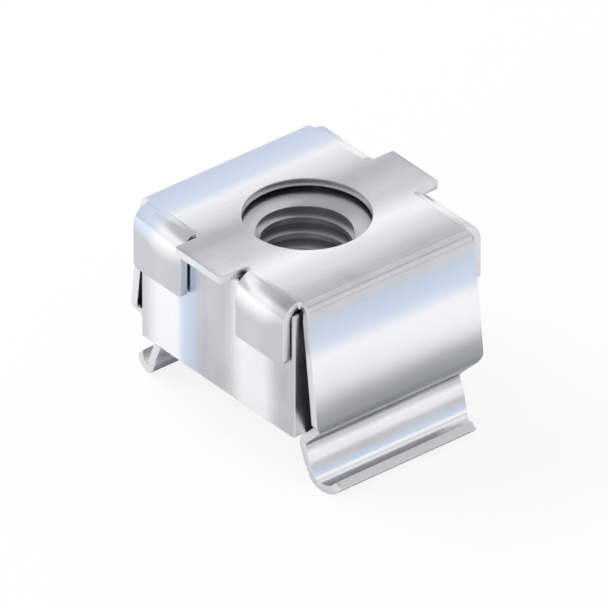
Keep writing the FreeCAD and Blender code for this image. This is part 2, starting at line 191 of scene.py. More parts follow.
class Effects:
    """The shader node groups that more than one finish uses."""

    def __init__(self) -> None:
        """Builds each group once."""
        self.tool_marks = self._tool_marks()
        self.plating_bloom = self._plating_bloom()
        self.waves_with_painted_bands = self._waves_with_painted_bands()

    @staticmethod
    def _group(name: str, inputs: dict[str, object], outputs: list[str]) -> tuple[Bench, Outputs]:
        """An empty group with its sockets.

        Args:
            name: the group's name.
            inputs: socket name to its starting value; a tuple makes a vector socket.
            outputs: names of the number sockets that it puts out.

        Returns:
            A bench on the group, and the sockets of its input by name.
        """
        tree = bpy.data.node_groups.new(name, "ShaderNodeTree")
        for label, value in inputs.items():
            kind = "NodeSocketVector" if isinstance(value, tuple) else "NodeSocketFloat"
            socket = tree.interface.new_socket(label, in_out="INPUT", socket_type=kind)
            socket.default_value = value
        for label in outputs:
            tree.interface.new_socket(label, in_out="OUTPUT", socket_type="NodeSocketFloat")
        return Bench(tree), dict(tree.nodes.new("NodeGroupInput").outputs.items())

    @staticmethod
    def _finish_group(bench: Bench, results: Outputs) -> Tree:
        """Feeds the group's outputs by name, and gives back the group."""
        bench.add("NodeGroupOutput", results)
        return bench.tree

    def _tool_marks(self) -> Tree:
        """Long fine lines left by rolling, drawing or sawing, with a few deeper ones among them.

        Returns:
            The group, which puts out the lines' height and their streaks.
        """
        bench, source = self._group("tool_marks", {**LAID, "Lines": 9.0}, ["Height", "Streak"])
        laid = bench.vector("MULTIPLY", {0: source["Vector"], 1: source["Lay"]})
        packed = bench.vector("SCALE", {0: laid, "Scale": source["Lines"]})
        fine = bench.noise(packed, scale=1.0, detail=3.0)
        broad = bench.noise(packed, scale=0.16, detail=1.0)
        deep = bench.mask(fine, low=0.34, high=0.44, ramp="LINEAR")
        fine_share, deep_share = 0.55, 0.35
        shallow = bench.math("MULTIPLY_ADD", fine, fine_share, broad)
        height = bench.math("MULTIPLY_ADD", deep, deep_share, shallow)
        return self._finish_group(bench, {"Height": height, "Streak": fine})

    def _plating_bloom(self) -> Tree:
        """The look of bright zinc: wide soft clouds and small dull spots.

        Returns:
            The group, which puts out the clouds and the spots.
        """
        starts = {"Vector": (0.0, 0.0, 0.0), "Clouds": 0.35}
        bench, source = self._group("plating_bloom", starts, ["Cloud", "Spot"])
        placed = bench.vector("SCALE", {0: source["Vector"], "Scale": source["Clouds"]})
        cloud = bench.mask(bench.noise(placed, scale=1.0, detail=5.0), low=0.32, high=0.68)
        spot = bench.mask(bench.noise(placed, scale=34.0, detail=2.0), low=0.62, high=0.74)
        return self._finish_group(bench, {"Cloud": cloud, "Spot": spot})

    def _waves_with_painted_bands(self) -> Tree:
        """Slight long waves left by a press or a saw, as a bump, with painted highlight and painted
        sheen bands laid along them.

        Returns:
            The group, which puts out the wave, a painted highlight on its crest, and a painted blue
            sheen on the flank of every other wave.
        """
        starts = {**LAID, "Length": 8.0, "Phase": 0.0}
        bench, source = self._group("waves_with_painted_bands", starts, ["Wave", "PaintedHighlight", "PaintedSheen"])
        laid = bench.vector("MULTIPLY", {0: source["Vector"], 1: source["Lay"]})
        wander = bench.noise(laid, scale=0.22, detail=1.0)
        across = bench.add("ShaderNodeSeparateXYZ", {"Vector": laid}).outputs["X"]
        steps = bench.math("ADD", bench.math("DIVIDE", across, source["Length"]), source["Phase"])
        wander_share, half = 0.35, 0.5
        drawn = bench.math("MULTIPLY_ADD", wander, wander_share, steps)
        turn = bench.math("MULTIPLY", drawn, math.tau)
        wave = bench.math("COSINE", turn)
        # Painted highlight: the light tone laid along each wave's crest.
        painted_highlight = bench.mask(wave, low=-0.8, high=1.0)
        # Painted sheen: a blue band on the flank of every other wave.
        painted_sheen_mask = bench.mask(bench.math("SINE", turn), low=-0.35, high=-1.0)
        slow_wave = bench.math("COSINE", bench.math("MULTIPLY", turn, half))
        every_other = bench.mask(slow_wave, low=-0.3, high=0.4, ramp="LINEAR")
        painted_sheen_every_other = bench.math("MULTIPLY", painted_sheen_mask, every_other)
        return self._finish_group(bench, {"Wave": wave, "PaintedHighlight": painted_highlight, "PaintedSheen": painted_sheen_every_other})


@dataclass(frozen=True)
class Waves:
    """A finish's press waves, which also place its painted highlight and sheen bands: length and
    depth in mm, and shift in turns.

    A minus before the length turns round the order of the painted highlight and painted sheen bands.
    """

    length: float
    phase: float
    depth: float

    def across(self, bench: Bench, effects: Effects, lay: Lay, place: Socket) -> tuple[Socket, ...]:
        """Lays the waves across a finish.

        Args:
            bench: the material's bench.
            effects: the shared node groups.
            lay: which way the marks run.
            place: the pattern's coordinates.

        Returns:
            The sockets with the height in mm, the painted highlight band and the painted sheen mask.
        """
        made = bench.group(
            effects.waves_with_painted_bands,
            {"Vector": place, "Lay": lay.value, "Length": self.length, "Phase": self.phase},
        )
        return bench.math("MULTIPLY", made["Wave"], self.depth), made["PaintedHighlight"], made["PaintedSheen"]


@dataclass(frozen=True)
class FoldMarksAndPaintedShade:
    """Painted shade on the flanges, fine waves on the legs, and painted shade over the lower wall
    and shoulders.

    Places and widths are in mm from the middle of the flat sheet.
    """

    flanges_from: float = 5.6
    flanges_edge: float = 1.2
    # Painted shade: how far the flanges drop to the dull tone and out of the blue sheen.
    flanges_painted_shade: float = 1.0
    legs_from: float = 13.2
    legs_edge: float = 0.3
    leg_waves: Waves = Waves(length=1.05, phase=1.587, depth=0.008)
    # Painted shade: a dark grey over the lower wall and the shoulders, ending at the legs.
    painted_shade_from: float = 9.3
    painted_shade_edge: float = 2.4
    painted_shade_share: float = 0.85
    painted_shade: Colour = (0.36, 0.385, 0.395)

    def flanges(self, bench: Bench, place: Socket) -> Socket:
        """The mask of the flanges and the tabs' ends."""
        return bench.beyond(place, "Y", self.flanges_from, self.flanges_edge)

    def legs(self, bench: Bench, place: Socket) -> Socket:
        """The mask of the legs and their hooks."""
        return bench.beyond(place, "X", self.legs_from, self.legs_edge)

    def painted_shade_mask(self, bench: Bench, place: Socket) -> Socket:
        """The mask of the painted shade, which darkens the lower wall and the shoulders and ends at
        the legs.
        """
        over = bench.beyond(place, "X", self.painted_shade_from, self.painted_shade_edge)
        return bench.sum(over, self.painted_shade_share, self.legs(bench, place), -self.painted_shade_share)


@dataclass(frozen=True)
class ZincFinish:
    """Bright zinc plate over steel, with the marks of the tool that made the surface under it.

    Light and dull are its tones, mixed by painted highlight bands and grain, and the painted sheen
    is a blue painted over them. Lines sets how close the tool marks lie and depth their height in
    mm. Each share says how much of an effect goes into the tones.
    """

    name: str
    light: Colour
    dull: Colour
    roughness: float
    rough_swing: float
    lay: Lay
    lines: float
    depth: float
    clouds: float
    painted_sheen: Colour
    painted_sheen_share: float
    painted_highlight_share: float
    waves: Waves = Waves(length=5.0, phase=0.0, depth=0.0)
    pattern: Pattern = Pattern.BLOCK
    folds: FoldMarksAndPaintedShade | None = None
    cloud_share: float = 0.18
    streak_share: float = 0.22
    spot_share: float = 0.05
    spot_depth: float = 0.25

    def build(self, effects: Effects) -> Material:
        """The material of this finish.

        Args:
            effects: the shared node groups.

        Returns:
            The material, ready to assign.
        """
        material = bpy.data.materials.new(self.name)
        material.use_nodes = True
        bench = Bench(material.node_tree)
        shader = material.node_tree.nodes["Principled BSDF"]
        shader.inputs["Metallic"].default_value = 1.0
        place = self._coordinates(bench)
        marks = bench.group(
            effects.tool_marks, {"Vector": place, "Lay": self.lay.value, "Lines": self.lines}
        )
        bloom = bench.group(effects.plating_bloom, {"Vector": place, "Clouds": self.clouds})
        wave, painted_highlight, painted_sheen_mask = self._waves(bench, effects, place)

        grain = bench.sum(bloom["Cloud"], self.cloud_share, marks["Streak"], self.streak_share)
        # Painted highlight bands, added to the grain of clouds and streaks.
        painted_highlight_and_grain = bench.math("MULTIPLY_ADD", painted_highlight, self.painted_highlight_share, grain)
        # Painted blue sheen along the wave flanks, with the plating spots.
        painted_sheen_and_spots = bench.sum(painted_sheen_mask, self.painted_sheen_share, bloom["Spot"], self.spot_share)
        bench.feed(shader.inputs["Base Color"], self._colour(bench, place, painted_highlight_and_grain, painted_sheen_and_spots))

        swing = bench.sum(bloom["Cloud"], self.rough_swing, bloom["Spot"], self.rough_swing)
        bench.feed(shader.inputs["Roughness"], bench.math("ADD", swing, self.roughness))

        fine = bench.sum(marks["Height"], self.depth, bloom["Spot"], self.depth * self.spot_depth)
        relief = bench.math("ADD", fine, wave)
        bump = bench.add("ShaderNodeBump", {"Height": relief, "Distance": MM})
        bench.feed(shader.inputs["Normal"], bump.outputs["Normal"])
        return material

    def _colour(self, bench: Bench, place: Socket, painted_highlight_and_grain: Socket, painted_sheen_and_spots: Socket) -> Socket:
        """The colour: dull to light by painted highlight bands and grain, with painted shade on the
        flanges, then the painted blue sheen, then painted shade over the lower wall and shoulders.

        Args:
            bench: the material's bench.
            place: the pattern's coordinates.
            painted_highlight_and_grain: the socket with the share of the light tone, from the
                painted highlight bands and the grain.
            painted_sheen_and_spots: the socket with the share of the painted blue sheen, with the
                plating spots.

        Returns:
            The socket with the colour.
        """
        folds = self.folds
        if folds:
            # Painted shade: the flanges and the tabs' ends drop to the dull tone and lose the blue
            # sheen.
            flanges = folds.flanges(bench, place)
            painted_highlight_and_grain = bench.math("MULTIPLY_ADD", flanges, -folds.flanges_painted_shade, painted_highlight_and_grain)
            painted_sheen_and_spots = bench.math("MULTIPLY_ADD", flanges, -folds.flanges_painted_shade, painted_sheen_and_spots)
        tint = bench.mix("RGBA", painted_highlight_and_grain, (*self.dull, 1.0), (*self.light, 1.0))
        colour = bench.mix("RGBA", painted_sheen_and_spots, tint, (*self.painted_sheen, 1.0))
        if folds:
            # Painted shade: a dark grey over the lower wall and the shoulders.
            colour = bench.mix("RGBA", folds.painted_shade_mask(bench, place), colour, (*folds.painted_shade, 1.0))
        return colour

    def _waves(self, bench: Bench, effects: Effects, place: Socket) -> tuple[Socket, ...]:
        """The press waves, with finer ones where the sheet was drawn over the hooks' die.

        Args:
            bench: the material's bench.
            effects: the shared node groups.
            place: the pattern's coordinates.

        Returns:
            The sockets with the height in mm, the painted highlight band and the painted sheen mask.
        """
        broad = self.waves.across(bench, effects, self.lay, place)
        if self.folds is None:
            return broad
        fine = self.folds.leg_waves.across(bench, effects, self.lay, place)
        on_leg = self.folds.legs(bench, place)
        return tuple(bench.mix("FLOAT", on_leg, *pair) for pair in zip(broad, fine))

    def _coordinates(self, bench: Bench) -> Socket:
        """Finds where the pattern is read.

        Args:
            bench: the material's bench.

        Returns:
            The socket with the pattern's coordinates in mm.
        """
        if self.pattern is Pattern.FLAT_SHEET:
            return bench.add("ShaderNodeUVMap", {}, uv_map=self.pattern.value).outputs["UV"]
        solid = bench.add("ShaderNodeTexCoord", {}).outputs["Object"]
        in_mm = {"Vector": solid, "Scale": (1.0 / MM, 1.0 / MM, 1.0 / MM)}
        return bench.add("ShaderNodeMapping", in_mm).outputs["Vector"]


# The highlight share of each finish paints highlight bands into its colour and the sheen share
# paints blue sheen bands, both placed by its waves.
ROLLED_SHEET = ZincFinish(
    name="zinc_on_rolled_sheet", light=(0.98, 0.98, 0.98), dull=(0.57, 0.58, 0.60),
    painted_sheen=(0.60, 0.70, 0.90), painted_sheen_share=0.7, painted_highlight_share=0.85, roughness=0.19, rough_swing=0.05,
    lay=Lay.ALONG_Y, lines=9.0, depth=0.0025, clouds=0.35, pattern=Pattern.FLAT_SHEET,
    waves=Waves(length=5.95, phase=0.338, depth=0.09), folds=FoldMarksAndPaintedShade(),
)
SHEARED_EDGE = ZincFinish(
    name="zinc_on_sheared_edge", light=(0.90, 0.90, 0.91), dull=(0.72, 0.73, 0.74),
    painted_sheen=(0.78, 0.82, 0.88), painted_sheen_share=0.1, painted_highlight_share=0.2, roughness=0.30, rough_swing=0.07,
    lay=Lay.ROUND, lines=14.0, depth=0.002, clouds=0.4,
)
DRAWN_BAR = ZincFinish(
    name="zinc_on_drawn_bar", light=(0.82, 0.83, 0.85), dull=(0.60, 0.61, 0.64),
    painted_sheen=(0.70, 0.78, 0.92), painted_sheen_share=0.4, painted_highlight_share=0.4, roughness=0.26, rough_swing=0.08,
    lay=Lay.ALONG_Y, lines=6.0, depth=0.003, clouds=0.3,
    waves=Waves(length=6.0, phase=0.0, depth=0.02),
)
SAWN_END = ZincFinish(
    name="zinc_on_sawn_end", light=(0.95, 0.95, 0.95), dull=(0.45, 0.46, 0.48),
    painted_sheen=(0.56, 0.66, 0.84), painted_sheen_share=0.75, painted_highlight_share=0.8, roughness=0.21, rough_swing=0.06,
    lay=Lay.ALONG_Z, lines=5.0, depth=0.004, clouds=0.3,
    waves=Waves(length=-5.5, phase=-0.739, depth=0.04),
)
TAPPED_BORE = ZincFinish(
    name="zinc_in_tapped_bore", light=(0.76, 0.77, 0.78), dull=(0.57, 0.58, 0.59),
    painted_sheen=(0.64, 0.67, 0.72), painted_sheen_share=0.2, painted_highlight_share=0.3, roughness=0.28, rough_swing=0.06,
    lay=Lay.ALONG_X, lines=8.0, depth=0.002, clouds=0.5,
)
CAGE_FINISHES = (ROLLED_SHEET, SHEARED_EDGE)
NUT_FINISHES = (DRAWN_BAR, SAWN_END, TAPPED_BORE)


def finished_piece(name: str, shape: Shape, materials: list[Material]) -> Piece:
    """Turns a shape in millimetres into an object in metres, at the origin.

    Args:
        name: the object's name.
        shape: the shape, which is freed.
        materials: its materials, in the order of the faces' material numbers.

    Returns:
        The object, linked to the scene.
    """
    bmesh.ops.scale(shape, vec=(MM, MM, MM), verts=shape.verts[:])
    for face in shape.faces:
        face.smooth = True
    mesh = bpy.data.meshes.new(name)
    shape.to_mesh(mesh)
    shape.free()
    piece = bpy.data.objects.new(name, mesh)
    for material in materials:
        mesh.materials.append(material)
    bpy.context.scene.collection.objects.link(piece)
    return piece


def flatten_shading(piece: Piece) -> None:
    """Lets large faces keep their own normal, so that only bends and broken edges shade round.

    Args:
        piece: the object to shade so.
    """
    normals = piece.modifiers.new("large_faces_lead", "WEIGHTED_NORMAL")
    normals.mode = "FACE_AREA"
    normals.weight = LARGE_FACES_LEAD
    normals.keep_sharp = True


@dataclass
class Bend:
    """One fold of the sheet: where it starts on the flat face, its turn, and that face's radius."""

    start: float
    turn: float
    radius: float
    steps: int

    @property
    def chord(self) -> float:
        """The flat length of each of its steps."""
        return 2.0 * self.radius * math.sin(abs(self.turn) / self.steps / 2.0)

    def lines(self) -> list[float]:
        """The places on the flat face where the sheet turns a little."""
        return [self.start + self.chord * step for step in range(self.steps + 1)]

    @property
    def end(self) -> float:
        """Where the fold ends on the flat face."""
        return self.lines()[-1]

    def turns(self) -> list[tuple[float, float]]:
        """The place and the turn of each of its lines.

        Returns:
            From the fold's far end inward; the first line and the last take half a step each.
        """
        whole = self.turn / self.steps
        turns = [whole / 2.0, *[whole] * (self.steps - 1), whole / 2.0]
        return list(zip(self.lines(), turns))[::-1]


@dataclass
class SpringCage:
    """The folded cage: top plate with its hole, tabs and flanges, two walls, two hooked legs.

    Sizes are in mm and angles in degrees. The strip's five folds are wall, shoulder, neck, hook and
    lip, in that order.
    """

    plate_top: float
    sheet: float = 0.4
    hole_radius: float = 2.8
    wall_reach: float = 5.45
    wall_lean: float = 0.68
    shoulder_rise: float = 1.3
    neck_reach: float = 4.85
    neck_height: float = 2.14
    leg_lean: float = 0.8
    hook_flat: float = 0.04
    lip_reach: float = 0.34
    lip_rise: float = 0.38
    bend_insides: tuple[float, ...] = (0.1, 0.25, 0.25, 0.5, 0.3)
    bend_steps: tuple[int, ...] = (9, 6, 7, 9, 6)
    wall_side: float = 4.575
    leg_side: float = 4.25
    lip_inset: float = 0.5
    relief: float = 4.52
    relief_drop: float = 0.12
    relief_slant: float = 0.35
    relief_round: float = 0.2
    relief_corner: float = 0.135
    wall_corner: float = 0.3
    lip_corner: float = 0.2
    flange_side: float = 5.05
    flange_inside: float = 5.03
    flange_bend: float = 0.5
    flange_steps: int = 9
    flange_drop: float = 3.0
    flange_corner: float = 0.3
    notch_side: float = 1.85
    tab_side: float = 1.55
    tab_end: float = 5.99
    burr_corner: float = 0.08
    edge_break: float = 0.035
    edge_steps: int = 2
    hole_steps: int = 28
    arc_step: float = 0.09
    score_within: float = 0.00005
    crowded_within: float = 0.045
    flat_within: float = 0.5
    sharp_from: float = 60.0

    def __post_init__(self) -> None:
        """Works out the strip's folds from its sizes."""
        self.corners = self._corner_places()
        self.folds = self._folds_of_the_strip()
        fold_from, outer = self.flange_inside - self.flange_bend, self.flange_bend + self.sheet
        self.flange_fold = Bend(fold_from, -math.pi / 2.0, outer, self.flange_steps)

    def _corner_places(self) -> list[Vector]:
        """The corners of the strip's middle line, seen from its end, out to the lip's tip.

        Returns:
            Reach along X and height of each corner.
        """
        half = self.sheet / 2.0
        leg = Vector((self.leg_lean, self.neck_height - half))
        hook_run = (self.bend_insides[3] + half) * math.tan(math.atan2(leg.y, leg.x) / 2.0)
        lip_turn = math.atan2(self.lip_rise, self.lip_reach)
        lip_run = (self.bend_insides[4] + half) * math.tan(lip_turn / 2.0)
        hook = Vector((self.neck_reach + self.leg_lean, half))
        lip = hook + Vector((hook_run + self.hook_flat + lip_run, 0.0))
        return [
            Vector((0.0, self.plate_top - half)),
            Vector((self.wall_reach, self.plate_top - half)),
            Vector((self.wall_reach + self.wall_lean, self.neck_height + self.shoulder_rise)),
            Vector((self.neck_reach, self.neck_height)),
            hook,
            lip,
            lip + Vector((self.lip_reach, self.lip_rise)),
        ]

    def build(self, effects: Effects) -> Piece:
        """Cuts the blank, folds it, gives it its thickness and dresses it.

        Args:
            effects: the shared node groups.

        Returns:
            The finished cage.
        """
        shape = bmesh.new()
        flat = shape.verts.layers.float_vector.new("flat")
        self._cut_quarter_blank(shape)
        self._score_bend_lines(shape)
        self._drop_crowded_points(shape)
        for vert in shape.verts:
            vert[flat] = vert.co
        self._fold(shape, flat)
        self._mirror_quarters(shape, flat)
        self._map_flat_sheet(shape, flat)
        bmesh.ops.solidify(shape, geom=shape.faces[:], thickness=self.sheet)
        self._break_edges(shape)
        finishes = [finish.build(effects) for finish in CAGE_FINISHES]
        piece = finished_piece("folded_cage", shape, finishes)
        flatten_shading(piece)
        return piece

    def _folds_of_the_strip(self) -> list[Bend]:
        """The strip's five folds, from the plate outward, as they lie on its outer face.

        Returns:
            The bends in order.
        """
        folds: list[Bend] = []
        at, run_before = 0.0, 0.0
        for i, (inside, count) in enumerate(zip(self.bend_insides, self.bend_steps), start=1):
            way_in = self.corners[i] - self.corners[i - 1]
            way_out = self.corners[i + 1] - self.corners[i]
            turn = math.atan2(way_in.x * way_out.y - way_in.y * way_out.x, way_in.dot(way_out))
            run = (inside + self.sheet / 2.0) * math.tan(abs(turn) / 2.0)
            start = at + way_in.length - run_before - run
            outer = inside + self.sheet if turn < 0 else inside
            folds.append(Bend(start, turn, outer, count))
            at, run_before = folds[-1].end, run
        return folds

    def _on_wall(self, height: float) -> float:
        """Finds where the wall's middle comes down to a height.

        Args:
            height: the height in mm.

        Returns:
            How far along the flat strip that is.
        """
        way = (self.corners[2] - self.corners[1]).normalized()
        run = (self.bend_insides[0] + self.sheet / 2.0) * math.tan(abs(self.folds[0].turn) / 2.0)
        straight_from = self.corners[1].y + way.y * run
        return self.folds[0].end + (straight_from - height) / -way.y

    def _quarter_outline(self) -> list[tuple[float, float, float]]:
        """The corners of a quarter of the flat blank, and the radius at each.

        Returns:
            (along the strip, across it, radius), counter-clockwise from the hole.
        """
        half = self.sheet / 2.0
        _, shoulder, _, hook, lip = self.folds
        hook_at, lip_at, tip = self.corners[4:]
        lip_run = (self.bend_insides[4] + half) * math.tan(lip.turn / 2.0)
        length = lip.end + (tip - lip_at).length - lip_run
        leg_way = (hook_at - self.corners[3]).normalized()
        hook_run = (self.bend_insides[3] + half) * math.tan(hook.turn / 2.0)
        leg_foot, sole = hook_at.x - leg_way.x * hook_run, hook_at.x + hook_run
        taper_from = self.neck_reach + self.sheet
        taper = self.lip_inset / (tip.x - taper_from)
        taper_start = hook.start - (leg_foot - taper_from) / leg_way.x

        def width(reach: float) -> float:
            """The leg's half width at a distance from the middle plane."""
            return self.leg_side - taper * (reach - taper_from)

        middle = (leg_foot + sole) / 2.0 - hook_run / 4.0
        shoulder_foot, shoulder_top = shoulder.end + half / 2.0, shoulder.start + half / 4.0
        foot = self.flange_fold.end + self.flange_drop - self.flange_bend - self.sheet
        slant_top = self.plate_top - self.sheet - self.relief_drop
        hole = self.hole_radius
        return [
            (hole, 0.0, 0.0),
            (length, 0.0, 0.0),
            (length, self.leg_side - self.lip_inset, self.lip_corner),
            (hook.end, width(sole), 0.0),
            ((hook.start + hook.end) / 2.0, width(middle), 0.0),
            (hook.start, width(leg_foot), 0.0),
            (taper_start, self.leg_side, 0.0),
            (shoulder_foot, self.leg_side, self.wall_corner),
            (shoulder_top, self.wall_side, self.wall_corner),
            (self._on_wall(slant_top - self.relief_slant), self.wall_side, self.relief_round),
            (self._on_wall(slant_top), self.relief, self.relief_round),
            (self.flange_side, self.relief, self.burr_corner),
            (self.flange_side, foot, self.flange_corner),
            (self.notch_side, foot, self.burr_corner),
            (self.notch_side, self.relief, self.relief_corner),
            (self.tab_side, self.relief, self.relief_corner),
            (self.tab_side, self.tab_end, self.burr_corner),
            (0.0, self.tab_end, 0.0),
            (0.0, hole, 0.0),
            (hole, hole, hole - MERGE),
        ]

    def _cut_quarter_blank(self, shape: Shape) -> None:
        """Lays out a quarter of the blank as one flat face, and rounds each of its corners.

        Args:
            shape: the empty mesh.
        """
        outline = self._quarter_outline()
        count = len(outline)
        corners = [shape.verts.new((x, y, 0.0)) for x, y, _ in outline]
        shape.faces.new(corners)
        for i, (x, y, radius) in enumerate(outline):
            if radius == 0.0:
                continue
            way_in = Vector((x, y)) - Vector(outline[i - 1][:2])
            way_out = Vector(outline[(i + 1) % count][:2]) - Vector((x, y))
            turn = way_in.angle(way_out)
            at_hole = i == count - 1
            steps = self.hole_steps if at_hole else max(1, round(radius * turn / self.arc_step))
            bmesh.ops.bevel(
                shape, geom=[corners[i]], offset=radius * math.tan(turn / 2.0), affect="VERTICES",
                segments=steps, profile=0.5, material=-1,
            )
        bmesh.ops.remove_doubles(shape, verts=shape.verts[:], dist=4.0 * MERGE)

    def _score_bend_lines(self, shape: Shape) -> None:
        """Cuts the flat face along every line where the sheet will turn.

        Args:
            shape: the mesh with the quarter blank.
        """
        for bend in self.folds:
            for place in bend.lines():
                geom = [*shape.verts, *shape.edges, *shape.faces]
                bmesh.ops.bisect_plane(
                    shape, geom=geom, dist=self.score_within, plane_co=(place, 0, 0),
                    plane_no=(1, 0, 0),
                )
        first = self.folds[0].start
        for place in self.flange_fold.lines():
            faces = [face for face in shape.faces if face.calc_center_bounds().x < first]
            edges = {edge for face in faces for edge in face.edges}
            verts = {vert for face in faces for vert in face.verts}
            geom = [*verts, *edges, *faces]
            bmesh.ops.bisect_plane(
                shape, geom=geom, dist=self.score_within, plane_co=(0, place, 0),
                plane_no=(0, 1, 0),
            )

    def _drop_crowded_points(self, shape: Shape) -> None:
        """Takes out points of the outline that lie too close to a scored line for the broken edge.

        Args:
            shape: the scored quarter blank.
        """
        while crowded := [
            vert for vert in shape.verts if len(vert.link_edges) == 2
            and min(edge.calc_length() for edge in vert.link_edges) < self.crowded_within
        ]:
            bmesh.ops.dissolve_verts(shape, verts=crowded[:1])

    def _fold(self, shape: Shape, flat: Layer) -> None:
        """Folds the flange, then lip, hook, neck, shoulder and wall, each with all beyond it.

        Args:
            shape: the scored quarter blank.
            flat: the layer with each point's place on the flat blank.
        """
        between, wall_from = (self.tab_side + self.notch_side) / 2.0, self.folds[0].start
        for place, turn in self.flange_fold.turns():
            beyond = [
                vert for vert in shape.verts
                if between < vert[flat].x < wall_from and vert[flat].y > place + MERGE
            ]
            rotation = Matrix.Rotation(turn, 3, "X")
            bmesh.ops.rotate(shape, cent=(0, place, 0), matrix=rotation, verts=beyond)
        for bend in reversed(self.folds):
            for place, turn in bend.turns():
                beyond = [vert for vert in shape.verts if vert[flat].x > place + MERGE]
                rotation = Matrix.Rotation(-turn, 3, "Y")
                bmesh.ops.rotate(shape, cent=(place, 0, 0), matrix=rotation, verts=beyond)
        bmesh.ops.translate(shape, vec=(0, 0, self.plate_top), verts=shape.verts[:])

    def _mirror_quarters(self, shape: Shape, flat: Layer) -> None:
        """Mirrors the folded quarter to the other three, and clears lines that no bend needs.

        Args:
            shape: the folded quarter.
            flat: the layer with each point's place on the flat blank.
        """
        middle = Matrix.Identity(4)
        for axis in ("X", "Y"):
            geom = [*shape.verts, *shape.edges, *shape.faces]
            bmesh.ops.mirror(shape, geom=geom, matrix=middle, merge_dist=MERGE, axis=axis)
        bmesh.ops.remove_doubles(shape, verts=shape.verts[:], dist=MERGE)
        for vert in shape.verts:
            place = vert[flat]
            vert[flat] = (math.copysign(place.x, vert.co.x), math.copysign(place.y, vert.co.y), 0.0)
        flat_within = math.radians(self.flat_within)
        bmesh.ops.dissolve_limit(
            shape, angle_limit=flat_within, verts=shape.verts[:], edges=shape.edges[:],
            delimit=set(),
        )
        bmesh.ops.recalc_face_normals(shape, faces=shape.faces[:])
        plate = max(shape.faces, key=lambda face: face.calc_center_median().z)
        if plate.normal.z < 0:
            bmesh.ops.reverse_faces(shape, faces=shape.faces[:])

    @staticmethod
    def _map_flat_sheet(shape: Shape, flat: Layer) -> None:
        """Keeps each corner's place on the flat blank as the pattern's coordinates.

        Args:
            shape: the folded sheet, without thickness.
            flat: the layer with each point's place on the flat blank.
        """
        pattern = shape.loops.layers.uv.new(Pattern.FLAT_SHEET.value)
        for face in shape.faces:
            for loop in face.loops:
                loop[pattern].uv = loop.vert[flat].xy

    def _is_cut_edge(self, face: bmesh.types.BMFace, sharp: set[bmesh.types.BMEdge]) -> bool:
        """Whether a face is a strip of the sheet's cut edge.

        Args:
            face: a face of the sheet with its thickness.
            sharp: the sheet's sharp edges.

        Returns:
            True when sharp edges run along it and it is as wide as the sheet is thick.
        """
        along = [edge for edge in face.edges if edge in sharp]
        if len(face.edges) != 4 or not along:
            return False
        opposite = [edge for edge in along if not set(edge.verts) & set(along[0].verts)]
        across = [edge.calc_length() for edge in face.edges if edge not in sharp]
        slack = self.sheet / 4.0
        return bool(opposite) and all(abs(width - self.sheet) < slack for width in across)

    def _break_edges(self, shape: Shape) -> None:
        """Finds the sheet's cut edge, marks it with its own finish and breaks its sharp corners.

        Args:
            shape: the folded sheet with its thickness.
        """
        shape.normal_update()
        sharp_from = math.radians(self.sharp_from)
        sharp = [
            edge for edge in shape.edges
            if len(edge.link_faces) == 2 and edge.calc_face_angle(0.0) > sharp_from
        ]
        sharp_set = set(sharp)
        for face in shape.faces:
            if self._is_cut_edge(face, sharp_set):
                face.material_index = CAGE_FINISHES.index(SHEARED_EDGE)
        bmesh.ops.bevel(
            shape, geom=sharp, offset=self.edge_break, affect="EDGES", segments=self.edge_steps,
            profile=0.5, material=-1,
        )


